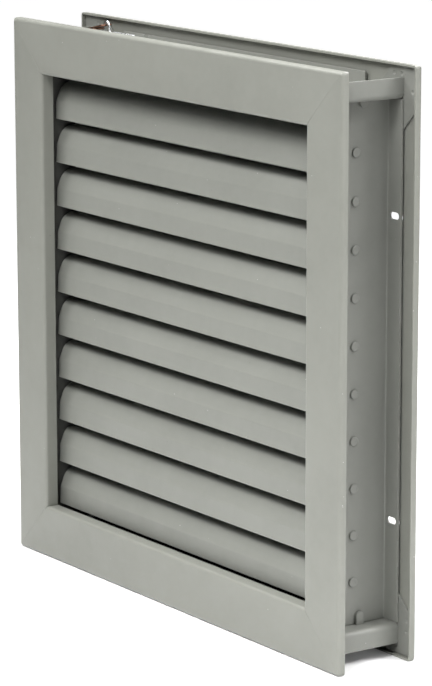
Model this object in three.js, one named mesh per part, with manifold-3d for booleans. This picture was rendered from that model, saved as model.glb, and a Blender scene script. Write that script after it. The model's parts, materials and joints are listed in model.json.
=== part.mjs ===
// Louvred air grille for a door: two flanged frames clamp a channel core between them.
// Ten arched blades turn on rivets in the core and are joined by one drive bar, which a
// fusible link holds up. Without the link the bar drops, and the blades turn shut.
// Millimetres. +X is to the right seen from the front, +Y to the rear, +Z up.
// The origin is at the middle of the bottom of the whole grille.

import * as THREE from 'three';
import { mergeVertices } from 'three/addons/utils/BufferGeometryUtils.js';
import Module from 'manifold-3d';

// Whole grille
const SIZE = 330.2; // width and height over the frames, 13 in
const DEPTH = 53.975; // front face to rear face, 2 1/8 in
const PLAY = 0.3; // gap between pieces that lie on each other
const BEND_STEPS = 3; // flats in each sheet bend
const CUT_MARGIN = 1; // how far a cutter reaches past what it cuts

// Frames
const FRAME_SHEET = 1.2;
const FACE_WIDTH = 31.75; // 1 1/4 in
const OUTER_LIP = 4.76;
const INNER_LIP = 8.4;
const FRAME_BEND = 1.5; // radius of the middle of the sheet
const MITRE_GAP = 0.15; // each member's side of the mitre

// Corner keys inside the frames
const KEY_SHEET = 0.9;
const KEY_OFFSET = 22.2; // how much longer a leg is than it is wide, at its slanted end

// Core
const CORE_SHEET = 1.2;
const CORE_HALF_DEPTH = DEPTH / 2 - FRAME_SHEET - KEY_SHEET - 2 * PLAY;
const CORE_HALF_WIDTH = 152.3;
const WEB_FACE = 140.8; // outer face of a jamb's web
const RAIL_FACE = 19.1; // height of the sill rail's web above the bottom of the grille
const RAIL_EDGE = 7.5; // height of the sill rail's lower edges
const RAIL_FLANGE_HALF = 119.5; // the rails' flanges stop short of the corner keys
const JAMB_BEND = 1.4;
const RAIL_BEND = 2.6;
const SLOT_MARGIN = 1.3; // of the drive bar's slot in the head rail
const JAMB_SLOT = { x: [142.6, 150.6], z: [76.6, 246.9], height: 3.9 };
const FRAME_SLOT = { x: [136.8, 150.6], z: [75.7, 246], height: 5.8 }; // larger, as the frame is set by eye
const SCREW_CUT = 4; // how far a slot's cutter reaches to each side of the jamb's rear face

// Lock tabs that stand up from the rails outside each jamb
const TAB_WIDTH = 5;
const TAB_SHEET = 1.8;
const TAB_Y = 5;
const SILL_TAB_RISE = 7.4;
const HEAD_TAB_RISE = 4.2;

// Blades
const BLADE_COUNT = 10;
const BLADE_PITCH = 26.57;
const LOWEST_PIVOT = 43.5;
const PIVOT_Y = 1;
const BLADE_SHEET = 0.9;
const BLADE_HALF_LENGTH = 138.1;
const LEG_HALF_SPAN = 14.4; // middle of the sheet, at the free edges
const LEG_DROP = 12.1;
const CREASE = { y: 13.95, z: -1.5, radius: 5 };
const SHOULDER = { y: 9.7, z: 9.45, radius: 9 };
const HEM_TOP = 16; // the crown's standing hem, a doubled sheet that hides the gap behind it
const EAR_SHEET = 1;
const EAR_BOTTOM = -5;
const EAR_HALF_FOOT = 9.7; // half the ear's straight lower edge
const ARCH_STEPS = 5;

// Pivots and drive
const PIVOT_RADIUS = 1.6;
const PIVOT_HEAD = { radius: 2.75, rise: 1 };
const PIVOT_TAIL = { radius: 2.6, rise: 0.8 };
const HEAD_PLAY = 0.2;
const RUN_CLEARANCE = 0.3;
const CLOSING_ANGLE = 28; // degrees from open to shut
const DRIVE_RADIUS = 9.5;
const STUD_RADIUS = 1.2;
const BAR_SHEET = 0.8;
const BAR_WIDTH = 6;
const BAR_TOP = 320.9;
const BAR_NECK = { width: 3, rise: 1.7 };
const BAR_PLAY = 0.35;
const BAR_X = -(BLADE_HALF_LENGTH + BAR_PLAY + BAR_SHEET / 2);

// Fusible link, hook and spring in the tray of the head rail
const LINK_SHEET = 0.8;
const LINK_WIDTH = 8;
const LINK_SLOPE = THREE.MathUtils.degToRad(12.3);
const LINK_LIFT = 321.6; // height of the lower plate's middle where it meets the bar
const LOWER_PLATE = { start: -2.6, end: 13 };
const UPPER_PLATE = { start: 5, end: 22 };
const WIRE_RADIUS = 0.8;
const WIRE_PLAY = 0.5; // round the hook in its hole
const HOOK = { at: 19.6, rise: 2.75, tip: -2.6, tail: -3.4, overhang: 1.8 }; // along and across the link
const SPRING = { start: -111.5, end: -89, radius: 3, bore: 1.9, z: 321 };
const SPRING_GRIP = 1.5; // how far the hook's end goes into the spring
const POST = { x: -84, halfWidth: 4, foot: 11, rise: 1.4, armHalf: 0.8 };

// Stops that the highest and the lowest blade shut against
const STOP_SHEET = 1.2;
const STOP_HALF_LENGTH = 136.5;
const STOP_FOOT = 10;
const HEAD_STOP = { y: PIVOT_Y + 9.3, z: 293.6 };
const SILL_STOP = { y: PIVOT_Y + 6.9, z: 25.6 };

const paint = new THREE.MeshStandardMaterial({ color: 0xa3a59d, roughness: 0.55, metalness: 0.1 });
const corePaint = new THREE.MeshStandardMaterial({ color: 0x96988f, roughness: 0.6, metalness: 0.1 });
const bladePaint = new THREE.MeshStandardMaterial({ color: 0x9ea098, roughness: 0.55, metalness: 0.1 });
const zinc = new THREE.MeshStandardMaterial({ color: 0xc9ccce, roughness: 0.35, metalness: 0.9 });
const copper = new THREE.MeshStandardMaterial({ color: 0x9a6a52, roughness: 0.45, metalness: 0.8 });

const wasm = await Module();
wasm.setup();

const X = new THREE.Vector3(1, 0, 0);
const Y = new THREE.Vector3(0, 1, 0);
const Z = new THREE.Vector3(0, 0, 1);
const ALONG_X = new THREE.Matrix4().makeBasis(Y, Z, X); // outline in (y, z), swept along +X
const ALONG_Y = new THREE.Matrix4().makeBasis(Z, X, Y); // outline in (z, x), swept along +Y

const grille = new THREE.Group();

// ---------- solids ----------

function toSolid(geometry) {
  const bare = geometry.clone();
  bare.deleteAttribute('normal');
  bare.deleteAttribute('uv');
  const merged = mergeVertices(bare, 1e-4);
  return new wasm.Manifold(new wasm.Mesh({
    numProp: 3,
    vertProperties: new Float32Array(merged.attributes.position.array),
    triVerts: new Uint32Array(merged.index.array),
  }));
}

function toGeometry(solid) {
  const mesh = solid.getMesh();
  const geometry = new THREE.BufferGeometry();
  geometry.setAttribute('position', new THREE.BufferAttribute(new Float32Array(mesh.vertProperties), 3));
  geometry.setIndex(new THREE.BufferAttribute(new Uint32Array(mesh.triVerts), 1));
  geometry.computeVertexNormals();
  return geometry;
}

function joined(...geometries) {
  return toGeometry(geometries.map(toSolid).reduce((whole, piece) => whole.add(piece)));
}

function cutBy(geometry, ...cutters) {
  const solid = toSolid(geometry);
  return toGeometry(cutters.map(toSolid).reduce((whole, cutter) => whole.subtract(cutter), solid));
}

function common(a, b) {
  return toGeometry(toSolid(a).intersect(toSolid(b)));
}

function block(x, y, z) {
  const box = new THREE.BoxGeometry(x[1] - x[0], y[1] - y[0], z[1] - z[0]);
  return box.translate((x[0] + x[1]) / 2, (y[0] + y[1]) / 2, (z[0] + z[1]) / 2);
}

function sweep(outline, start, end, matrix = new THREE.Matrix4()) {
  const shape = outline instanceof THREE.Shape ? outline : new THREE.Shape(outline);
  const settings = { depth: end - start, bevelEnabled: false, curveSegments: 6 };
  const geometry = new THREE.ExtrudeGeometry(shape, settings);
  return geometry.translate(0, 0, start).applyMatrix4(matrix);
}

function rodAlongX(radius, start, end, y, z, sides = 12) {
  const rod = new THREE.CylinderGeometry(radius, radius, end - start, sides);
  return rod.rotateZ(Math.PI / 2).translate((start + end) / 2, y, z);
}

/** The middle line of a folded sheet: straight runs and round bends, as points with normals. */
function bentLine(corners, steps = BEND_STEPS) {
  const points = corners.map(([a, b]) => new THREE.Vector2(a, b));
  const line = [];
  points.forEach((point, i) => {
    const arriving = i > 0 ? point.clone().sub(points[i - 1]).normalize() : null;
    const leaving = i < points.length - 1 ? points[i + 1].clone().sub(point).normalize() : null;
    if (!arriving || !leaving) {
      const direction = arriving ?? leaving;
      line.push({ point, normal: new THREE.Vector2(-direction.y, direction.x) });
      return;
    }
    const radius = corners[i][2];
    const turn = Math.atan2(arriving.cross(leaving), arriving.dot(leaving));
    const side = Math.sign(turn);
    const start = point.clone().addScaledVector(arriving, -radius * Math.tan(Math.abs(turn) / 2));
    const inward = new THREE.Vector2(-arriving.y, arriving.x).multiplyScalar(radius * side);
    const centre = start.clone().add(inward);
    for (let step = 0; step <= steps; step++) {
      const direction = arriving.clone().rotateAround(new THREE.Vector2(), turn * step / steps);
      const normal = new THREE.Vector2(-direction.y, direction.x);
      line.push({ point: centre.clone().addScaledVector(normal, -radius * side), normal });
    }
  });
  return line;
}

/** The outline of a folded sheet of even thickness. */
function foldedSheet(corners, thickness, steps = BEND_STEPS) {
  const line = bentLine(corners, steps);
  const offset = (amount) => line.map(({ point, normal }) => point.clone().addScaledVector(normal, amount));
  return [...offset(thickness / 2), ...offset(-thickness / 2).reverse()];
}

function place(name, geometry, material, parent = grille) {
  const mesh = new THREE.Mesh(geometry, material);
  mesh.name = name;
  parent.add(mesh);
  return mesh;
}

// ---------- frames ----------

/** The lower member of a front frame, about the middle of the frame's front face. */
function frameMember() {
  const half = SIZE / 2;
  const mid = FRAME_SHEET / 2;
  const section = foldedSheet([
    [OUTER_LIP, -half + mid],
    [mid, -half + mid, FRAME_BEND],
    [mid, -half + FACE_WIDTH - mid, FRAME_BEND],
    [INNER_LIP, -half + FACE_WIDTH - mid],
  ], FRAME_SHEET);
  const bar = sweep(section, -half, half, ALONG_X);
  const gap = MITRE_GAP * Math.SQRT2;
  const low = -half - CUT_MARGIN;
  const high = -half + FACE_WIDTH + CUT_MARGIN;
  const wedge = [[low, low + gap], [low, -low - gap], [high, -high - gap], [high, high + gap]];
  const outline = wedge.map(([z, x]) => new THREE.Vector2(z, x));
  return common(bar, sweep(outline, -CUT_MARGIN, INNER_LIP + CUT_MARGIN, ALONG_Y));
}

/** The L-shaped key behind the frame's face in its lower left corner. */
function cornerKey() {
  const outer = -SIZE / 2 + FRAME_SHEET + PLAY;
  const inner = -SIZE / 2 + FACE_WIDTH - FRAME_SHEET - PLAY;
  const outline = [
    [outer, outer],
    [outer, outer + KEY_OFFSET],
    [inner, inner + KEY_OFFSET],
    [inner, inner],
    [inner + KEY_OFFSET, inner],
    [outer + KEY_OFFSET, outer],
  ].map(([z, x]) => new THREE.Vector2(z, x));
  return sweep(outline, FRAME_SHEET + PLAY, FRAME_SHEET + PLAY + KEY_SHEET, ALONG_Y);
}

function addFrame(name, turned) {
  const frame = new THREE.Group();
  frame.position.set(0, turned ? DEPTH / 2 : -DEPTH / 2, SIZE / 2);
  frame.rotation.z = turned ? Math.PI : 0;
  grille.add(frame);
  const sides = turned ? ['bottom', 'right', 'top', 'left'] : ['bottom', 'left', 'top', 'right'];
  const corners = turned
    ? ['bottom_right', 'top_right', 'top_left', 'bottom_left']
    : ['bottom_left', 'top_left', 'top_right', 'bottom_right'];
  const member = frameMember();
  const key = cornerKey();
  sides.forEach((side, i) => {
    place(`${name}_frame_${side}`, member, paint, frame).rotation.y = i * Math.PI / 2;
  });
  corners.forEach((corner, i) => {
    place(`${name}_corner_key_${corner}`, key, corePaint, frame).rotation.y = i * Math.PI / 2;
  });
}

// ---------- core ----------

function pivotHeights() {
  return Array.from({ length: BLADE_COUNT }, (_, i) => LOWEST_PIVOT + BLADE_PITCH * (BLADE_COUNT - 1 - i));
}

/** A side jamb: a channel open to the outside, with the blades' pivot holes in its web. */
function jamb(side) {
  const web = WEB_FACE - CORE_SHEET / 2;
  const flange = CORE_HALF_DEPTH - CORE_SHEET / 2;
  const section = foldedSheet([
    [side * CORE_HALF_WIDTH, -flange],
    [side * web, -flange, JAMB_BEND],
    [side * web, flange, JAMB_BEND],
    [side * CORE_HALF_WIDTH, flange],
  ], CORE_SHEET);
  const channel = sweep(section, RAIL_FACE + PLAY, SIZE - RAIL_FACE - PLAY);
  const reach = [side * web - CORE_SHEET, side * web + CORE_SHEET];
  const pivotHoles = pivotHeights().map((z) => rodAlongX(PIVOT_RADIUS + RUN_CLEARANCE, ...reach, PIVOT_Y, z));
  return cutBy(channel, ...pivotHoles, ...screwSlots(side, JAMB_SLOT));
}

/** The cutters of one side's screw slots, round at both ends, through the faces near the jamb's rear. */
function screwSlots(side, slot) {
  const radius = slot.height / 2;
  const [low, high] = slot.x.map((x) => side * x).sort((a, b) => a - b);
  return slot.z.map((z) => {
    const shape = new THREE.Shape();
    shape.absarc(z, low + radius, radius, Math.PI, 2 * Math.PI);
    shape.absarc(z, high - radius, radius, 0, Math.PI);
    return sweep(shape, CORE_HALF_DEPTH - SCREW_CUT, CORE_HALF_DEPTH + SCREW_CUT, ALONG_Y);
  });
}

/** A lock tab, round at its free end, standing up from z = 0. */
function lockTab(side, rise) {
  const half = TAB_WIDTH / 2;
  const shape = new THREE.Shape();
  shape.moveTo(TAB_Y - half, -CORE_SHEET / 2);
  shape.lineTo(TAB_Y + half, -CORE_SHEET / 2);
  shape.lineTo(TAB_Y + half, rise - half);
  shape.absarc(TAB_Y, rise - half, half, 0, Math.PI);
  const start = side > 0 ? WEB_FACE + PLAY : -WEB_FACE - PLAY - TAB_SHEET;
  return sweep(shape, start, start + TAB_SHEET, ALONG_X);
}

/** The sill rail: a tray turned over, with a strap turned down at each end. */
function rail(tabRise) {
  const strap = CORE_HALF_WIDTH - CORE_SHEET / 2;
  const web = RAIL_FACE - CORE_SHEET / 2;
  const section = foldedSheet([
    [RAIL_EDGE, -strap],
    [web, -strap, RAIL_BEND],
    [web, strap, RAIL_BEND],
    [RAIL_EDGE, strap],
  ], CORE_SHEET);
  const pieces = [sweep(section, -CORE_HALF_DEPTH, CORE_HALF_DEPTH, ALONG_Y)];
  for (const side of [-1, 1]) {
    const faces = [side * CORE_HALF_DEPTH, side * (CORE_HALF_DEPTH - CORE_SHEET)].sort((a, b) => a - b);
    pieces.push(block([-RAIL_FLANGE_HALF, RAIL_FLANGE_HALF], faces, [RAIL_EDGE, web]));
    pieces.push(lockTab(side, tabRise).translate(0, 0, RAIL_FACE));
  }
  return joined(...pieces);
}

/** The rail at the top: the same tray the other way up, with a slot for the drive bar. */
function headRail() {
  const upsideDown = new THREE.Matrix4().makeScale(-1, 1, -1).setPosition(0, 0, SIZE);
  const tray = rail(HEAD_TAB_RISE).applyMatrix4(upsideDown);
  const [y] = studOffset();
  const slot = block(
    [BAR_X - SLOT_MARGIN, BAR_X + SLOT_MARGIN],
    [PIVOT_Y + y - BAR_WIDTH / 2 - SLOT_MARGIN, PIVOT_Y + y + BAR_WIDTH / 2 + SLOT_MARGIN],
    [SIZE - RAIL_FACE - CORE_SHEET, SIZE - RAIL_FACE + 2 * CORE_SHEET],
  );
  return cutBy(tray, slot);
}

/** An angle strip on a rail: an upstand at y, and a foot that lies on the rail to its rear. */
function stopStrip({ y, z }, railFace) {
  const away = Math.sign(railFace - z);
  const ends = [z, railFace - away * PLAY].sort((a, b) => a - b);
  const footEnds = [railFace - away * PLAY, railFace - away * (PLAY + STOP_SHEET)].sort((a, b) => a - b);
  const length = [-STOP_HALF_LENGTH, STOP_HALF_LENGTH];
  const upstand = block(length, [y - STOP_SHEET / 2, y + STOP_SHEET / 2], ends);
  return joined(upstand, block(length, [y - STOP_SHEET / 2, y + STOP_FOOT], footEnds));
}

// ---------- blades, pivots and drive bar ----------

function archCorners() {
  const half = [
    [-LEG_HALF_SPAN, -LEG_DROP],
    [-CREASE.y, CREASE.z, CREASE.radius],
    [-SHOULDER.y, SHOULDER.z, SHOULDER.radius],
  ];
  return [...half, ...half.map(([y, ...rest]) => [-y, ...rest]).reverse()];
}

/** Where the drive stud sits beside its pivot with the blades open, as [y, z]. */
function studOffset() {
  const angle = THREE.MathUtils.degToRad(CLOSING_ANGLE / 2);
  return [DRIVE_RADIUS * Math.cos(angle), DRIVE_RADIUS * Math.sin(angle)];
}

/** A blade about its pivot axis: an arched and hemmed sheet, an ear at each end, a stud on the left. */
function blade() {
  const section = foldedSheet(archCorners(), BLADE_SHEET, ARCH_STEPS);
  const arch = sweep(section, -BLADE_HALF_LENGTH, BLADE_HALF_LENGTH, ALONG_X);
  const length = [-BLADE_HALF_LENGTH, BLADE_HALF_LENGTH];
  const hem = block(length, [-BLADE_SHEET, BLADE_SHEET], [SHOULDER.z, HEM_TOP]);
  const middleLine = bentLine(archCorners(), ARCH_STEPS).map(({ point }) => point);
  const earOutline = middleLine.filter((point) => point.y > EAR_BOTTOM);
  earOutline.unshift(new THREE.Vector2(-EAR_HALF_FOOT, EAR_BOTTOM));
  earOutline.push(new THREE.Vector2(EAR_HALF_FOOT, EAR_BOTTOM));
  const inner = BLADE_HALF_LENGTH - EAR_SHEET;
  const [y, z] = studOffset();
  const studEnd = -BLADE_HALF_LENGTH - BAR_PLAY - BAR_SHEET;
  const whole = joined(
    arch,
    hem,
    sweep(earOutline, inner, BLADE_HALF_LENGTH, ALONG_X),
    sweep(earOutline, -BLADE_HALF_LENGTH, -inner, ALONG_X),
    rodAlongX(STUD_RADIUS, studEnd, -inner, y, z),
  );
  const pastEnds = BLADE_HALF_LENGTH + CUT_MARGIN;
  return cutBy(whole, rodAlongX(PIVOT_RADIUS + RUN_CLEARANCE, -pastEnds, pastEnds, 0, 0));
}

/** A pivot rivet about the blade's axis, for the right-hand end. */
function pivotRivet() {
  const tail = BLADE_HALF_LENGTH - EAR_SHEET - HEAD_PLAY;
  const head = WEB_FACE + HEAD_PLAY;
  const profile = [
    [0, tail - PIVOT_TAIL.rise],
    [PIVOT_TAIL.radius * 0.7, tail - PIVOT_TAIL.rise],
    [PIVOT_TAIL.radius, tail - PIVOT_TAIL.rise * 0.4],
    [PIVOT_TAIL.radius, tail],
    [PIVOT_RADIUS, tail],
    [PIVOT_RADIUS, head],
    [PIVOT_HEAD.radius, head],
    [PIVOT_HEAD.radius, head + PIVOT_HEAD.rise * 0.6],
    [PIVOT_HEAD.radius * 0.8, head + PIVOT_HEAD.rise],
    [0, head + PIVOT_HEAD.rise],
  ].map(([r, x]) => new THREE.Vector2(r, x));
  return new THREE.LatheGeometry(profile, 10).rotateZ(-Math.PI / 2);
}

function driveBar() {
  const [y, z] = studOffset();
  const middle = PIVOT_Y + y;
  const half = BAR_WIDTH / 2;
  const shape = new THREE.Shape();
  shape.moveTo(middle + half, BAR_TOP);
  shape.lineTo(middle + BAR_NECK.width / 2, BAR_TOP);
  shape.lineTo(middle + BAR_NECK.width / 2, BAR_TOP + BAR_NECK.rise);
  shape.lineTo(middle - BAR_NECK.width / 2, BAR_TOP + BAR_NECK.rise);
  shape.lineTo(middle - BAR_NECK.width / 2, BAR_TOP);
  shape.lineTo(middle - half, BAR_TOP);
  shape.lineTo(middle - half, LOWEST_PIVOT + z);
  shape.absarc(middle, LOWEST_PIVOT + z, half, Math.PI, 2 * Math.PI);
  const holeRadius = STUD_RADIUS + RUN_CLEARANCE;
  for (const pivot of pivotHeights()) {
    shape.holes.push(new THREE.Path().absarc(middle, pivot + z, holeRadius, 0, 2 * Math.PI, true));
  }
  return sweep(shape, BAR_X - BAR_SHEET / 2, BAR_X + BAR_SHEET / 2, ALONG_X);
}

// ---------- fusible link, hook and spring ----------

/** A link plate in its own plane: x along the link from the drive bar, thickness along z. */
function linkPlate({ start, end }, lift, opening) {
  const faces = [lift - LINK_SHEET / 2, lift + LINK_SHEET / 2];
  return cutBy(block([start, end], [-LINK_WIDTH / 2, LINK_WIDTH / 2], faces), opening);
}

function addLink() {
  const [y] = studOffset();
  const link = new THREE.Group();
  link.position.set(BAR_X, PIVOT_Y + y, LINK_LIFT);
  link.rotation.y = -LINK_SLOPE;
  link.updateMatrixWorld();
  grille.add(link);
  const neckHalf = BAR_NECK.width / 2 + PLAY;
  const slotHalf = BAR_SHEET + PLAY;
  const neckHole = block([-slotHalf, slotHalf], [-neckHalf, neckHalf], [-LINK_SHEET, LINK_SHEET]);
  const holeRadius = WIRE_RADIUS + WIRE_PLAY;
  const wireHole = new THREE.CylinderGeometry(holeRadius, holeRadius, 5 * LINK_SHEET, 14);
  wireHole.rotateX(Math.PI / 2).translate(HOOK.at, 0, LINK_SHEET);
  place('fusible_link_lower_plate', linkPlate(LOWER_PLATE, 0, neckHole), copper, link);
  place('fusible_link_upper_plate', linkPlate(UPPER_PLATE, LINK_SHEET + PLAY, wireHole), copper, link);
  const springAxis = new THREE.Vector3(SPRING.start, PIVOT_Y + y, SPRING.z);
  const springEnd = (into) => link.worldToLocal(springAxis.clone().add(new THREE.Vector3(into, 0, 0)));
  place('link_hook', wireHook(springEnd(-SPRING_GRIP), springEnd(SPRING_GRIP)), zinc, link);
}

/** An open wire hook, through the link's upper plate, over its end and down into the spring. */
function wireHook(beforeSpring, inSpring) {
  const bend = UPPER_PLATE.end + HOOK.overhang;
  const route = new THREE.CatmullRomCurve3([
    new THREE.Vector3(HOOK.at - 2.2, 0, HOOK.tip),
    new THREE.Vector3(HOOK.at - 0.4, 0, HOOK.tip + 1),
    new THREE.Vector3(HOOK.at, 0, 0.2),
    new THREE.Vector3(HOOK.at, 0, HOOK.rise - 1),
    new THREE.Vector3(HOOK.at + 1.4, 0, HOOK.rise),
    new THREE.Vector3(bend - 0.9, 0, HOOK.rise - 0.15),
    new THREE.Vector3(bend, 0, 1),
    new THREE.Vector3(bend, 0, HOOK.tail),
    beforeSpring,
    inSpring,
  ]);
  const section = new THREE.Shape();
  section.absarc(0, 0, WIRE_RADIUS, 0, 2 * Math.PI);
  const settings = { steps: 30, bevelEnabled: false, extrudePath: route, curveSegments: 4 };
  return new THREE.ExtrudeGeometry(section, settings);
}

/** The close-wound spring as one sleeve, open at both ends. */
function springSleeve() {
  const [y] = studOffset();
  const profile = [
    [SPRING.bore, SPRING.start],
    [SPRING.radius, SPRING.start],
    [SPRING.radius, SPRING.end],
    [SPRING.bore, SPRING.end],
    [SPRING.bore, SPRING.start],
  ].map(([r, x]) => new THREE.Vector2(r, x));
  return new THREE.LatheGeometry(profile, 20).rotateZ(-Math.PI / 2).translate(0, PIVOT_Y + y, SPRING.z);
}

/** The bracket that holds the far end of the spring, standing on the head rail's web. */
function springPost() {
  const [y] = studOffset();
  const middle = PIVOT_Y + y;
  const bottom = SIZE - RAIL_FACE + CORE_SHEET + PLAY;
  const width = [middle - POST.halfWidth, middle + POST.halfWidth];
  const upstand = block([POST.x, POST.x + CORE_SHEET], width, [bottom, SPRING.z + POST.rise]);
  const foot = block([POST.x, POST.x + POST.foot], width, [bottom, bottom + CORE_SHEET]);
  const armWidth = [middle - POST.armHalf, middle + POST.armHalf];
  const armHeight = [SPRING.z - POST.armHalf, SPRING.z + POST.armHalf];
  const arm = block([SPRING.end + PLAY, POST.x + CORE_SHEET / 2], armWidth, armHeight);
  return joined(upstand, foot, arm);
}

// ---------- assembly ----------

addFrame('front', false);
addFrame('rear', true);
for (const [name, side] of [['left', -1], ['right', 1]]) {
  const member = grille.getObjectByName(`rear_frame_${name}`);
  member.updateWorldMatrix(true, false);
  const toMember = member.matrixWorld.clone().invert();
  const cutters = screwSlots(side, FRAME_SLOT).map((cutter) => cutter.applyMatrix4(toMember));
  member.geometry = cutBy(member.geometry, ...cutters);
}

place('side_jamb_left', jamb(-1), corePaint);
place('side_jamb_right', jamb(1), corePaint);
place('sill_rail', rail(SILL_TAB_RISE), corePaint);
place('head_rail', headRail(), corePaint);
place('head_stop', stopStrip(HEAD_STOP, SIZE - RAIL_FACE), corePaint);
place('sill_stop', stopStrip(SILL_STOP, RAIL_FACE), corePaint);

const bladeGeometry = blade();
const rightRivet = pivotRivet();
const leftRivet = rightRivet.clone().rotateZ(Math.PI);
pivotHeights().forEach((z, i) => {
  const number = String(i + 1).padStart(2, '0');
  place(`blade_${number}`, bladeGeometry, bladePaint).position.set(0, PIVOT_Y, z);
  place(`pivot_rivet_left_${number}`, leftRivet, bladePaint).position.set(0, PIVOT_Y, z);
  place(`pivot_rivet_right_${number}`, rightRivet, bladePaint).position.set(0, PIVOT_Y, z);
});
place('drive_bar', driveBar(), zinc);

addLink();
place('hold_open_spring', springSleeve(), zinc);
place('spring_post', springPost(), zinc);

export default grille;
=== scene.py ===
"""Looks of the louvred air grille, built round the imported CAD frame. Metres, +Z up, front towards -Y."""

import json
import math

import bmesh
import bpy
from mathutils import Matrix, Vector


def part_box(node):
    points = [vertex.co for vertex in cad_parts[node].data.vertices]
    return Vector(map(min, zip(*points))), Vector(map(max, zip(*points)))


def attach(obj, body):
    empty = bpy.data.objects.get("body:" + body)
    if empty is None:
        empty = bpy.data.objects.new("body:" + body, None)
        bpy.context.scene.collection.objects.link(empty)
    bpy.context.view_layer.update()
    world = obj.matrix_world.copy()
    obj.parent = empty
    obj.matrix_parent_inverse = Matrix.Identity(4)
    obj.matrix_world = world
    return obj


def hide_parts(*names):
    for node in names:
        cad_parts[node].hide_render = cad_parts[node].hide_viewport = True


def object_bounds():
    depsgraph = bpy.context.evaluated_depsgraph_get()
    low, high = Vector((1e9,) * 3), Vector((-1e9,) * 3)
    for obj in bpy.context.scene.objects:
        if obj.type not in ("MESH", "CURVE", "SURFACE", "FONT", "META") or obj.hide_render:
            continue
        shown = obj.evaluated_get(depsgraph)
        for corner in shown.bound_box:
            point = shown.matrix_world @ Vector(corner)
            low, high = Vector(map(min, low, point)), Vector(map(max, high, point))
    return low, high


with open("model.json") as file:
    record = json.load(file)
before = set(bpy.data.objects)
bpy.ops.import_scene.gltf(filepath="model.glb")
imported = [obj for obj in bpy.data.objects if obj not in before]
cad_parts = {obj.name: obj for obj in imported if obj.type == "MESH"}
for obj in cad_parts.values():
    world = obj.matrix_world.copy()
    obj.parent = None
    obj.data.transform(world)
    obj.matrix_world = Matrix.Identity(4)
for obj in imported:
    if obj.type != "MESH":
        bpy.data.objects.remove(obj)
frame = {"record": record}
cad_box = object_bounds()
mm = 0.001

# ---------- driving dimensions ----------

PLAY = 0.3 * mm                 # gap between pieces that lie on each other
BEND_STEPS = 8                  # flats in each sheet bend, under smooth shading
EDGE = 0.16 * mm                # rounding of a sheet's cut edges
FINE_EDGE = 0.1 * mm            # and of the edges of the zinc and copper pieces
EDGE_TURN = math.radians(35)    # faces that meet at a sharper turn than this get a rounded edge
HALF_ROUND_STEPS = 20           # flats in the half-round end of a slot, a tab or the bar
ROD_STEPS = 32
SHARP_BEND = 4 * mm             # a bend of less radius than this gets a painted highlight along it, and less roughness
EDGE_HIGHLIGHT_REACH = 0.7 * mm            # how far in from a free edge the painted highlight reaches
EDGE_HIGHLIGHT = 2.0                 # how strong that painted highlight is at the edge, where a sharp bend is 1

FRAME_SHEET = 1.2 * mm
FACE_WIDTH = 31.75 * mm
OUTER_LIP = 4.76 * mm
INNER_LIP = 8.4 * mm
FRAME_BEND = 1.5 * mm           # to the middle of the sheet, like every bend here
CORNER_ROUND = 1.6 * mm         # of the frame's outer corners, where the weld was ground
END_STRETCH = 0.6 * mm          # of each member, over which its end is shaped
SEAM_CLOSED = 0.006 * mm        # each member's side of the mitre, where it is welded and ground
SEAM_OPEN = 0.15 * mm           # and at the inner corner, where the weld does not reach
WELD_END = 24 * mm              # how far in from the edge the weld goes

KEY_SHEET = 0.9 * mm
KEY_OFFSET = 22.2 * mm          # from the mitre to a leg's slanted end, which is parallel to it
STAKE_RADIUS = 1.3 * mm         # of the dishes where a key is staked to the frame's face
STAKE_DEPTH = 0.55 * mm
# Where they are, in from the key's outer edges
STAKES = ((4.2 * mm, 13.5 * mm), (13.5 * mm, 4.2 * mm), (4.2 * mm, 20.2 * mm))

CORE_SHEET = 1.2 * mm
JAMB_BEND = 1.4 * mm
RAIL_BEND = 2.6 * mm
RAIL_BEND_STEPS = 12
FLANGE_HALF = 119.5 * mm        # of the rails' flanges, which stop short of the corner keys
# Screw slots: reach in x, heights of their middles, and how high they are
JAMB_SLOT = ((142.6 * mm, 150.6 * mm), (76.6 * mm, 246.9 * mm), 3.9 * mm)
FRAME_SLOT = ((136.8 * mm, 150.6 * mm), (75.7 * mm, 246 * mm), 5.8 * mm)
SLOT_CUT = 4 * mm               # how far before and behind the jamb's rear face their cutters reach
TAB_WIDTH = 5 * mm
TAB_SHEET = 1.8 * mm
TAB_Y = 5 * mm
STOP_SHEET = 1.2 * mm
STOP_BEND = 1.1 * mm

BLADE_SHEET = 0.9 * mm
BLADE_BEND_STEPS = 10
BLADE_EDGE = 0.13 * mm
LEG_HALF_SPAN = 14.4 * mm
LEG_DROP = 12.1 * mm
CREASE = (13.95 * mm, -1.5 * mm, 5 * mm)    # y, z and bend radius, about the pivot
SHOULDER = (9.7 * mm, 9.45 * mm, 9 * mm)
HEM_TOP = 16 * mm
HEM_PLAY = 0.03 * mm            # between the hem's two leaves, to the middle
HEM_FOOT_BEND = 1 * mm
EAR_SHEET = 1 * mm
EAR_BOTTOM = -5 * mm
EAR_HALF_FOOT = 9.7 * mm
EAR_INSET = 0.02 * mm           # from the blade's ends, so that their faces don't coincide
RIVET_RADIUS = 1.6 * mm
RIVET_HEAD = (2.75 * mm, 1 * mm)            # radius and height
RIVET_TAIL = (2.6 * mm, 0.8 * mm)
STUD_RADIUS = 1.2 * mm
RUN_CLEARANCE = 0.3 * mm
CLOSING_ANGLE = math.radians(28)
DRIVE_RADIUS = 9.5 * mm
BAR_SHEET = 0.8 * mm
BAR_MARGIN = 1.3 * mm           # round the bar, in its slot in the head rail
BAR_NECK = 1.5 * mm             # half the neck's width
BAR_NECK_RISE = 1.7 * mm

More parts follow.
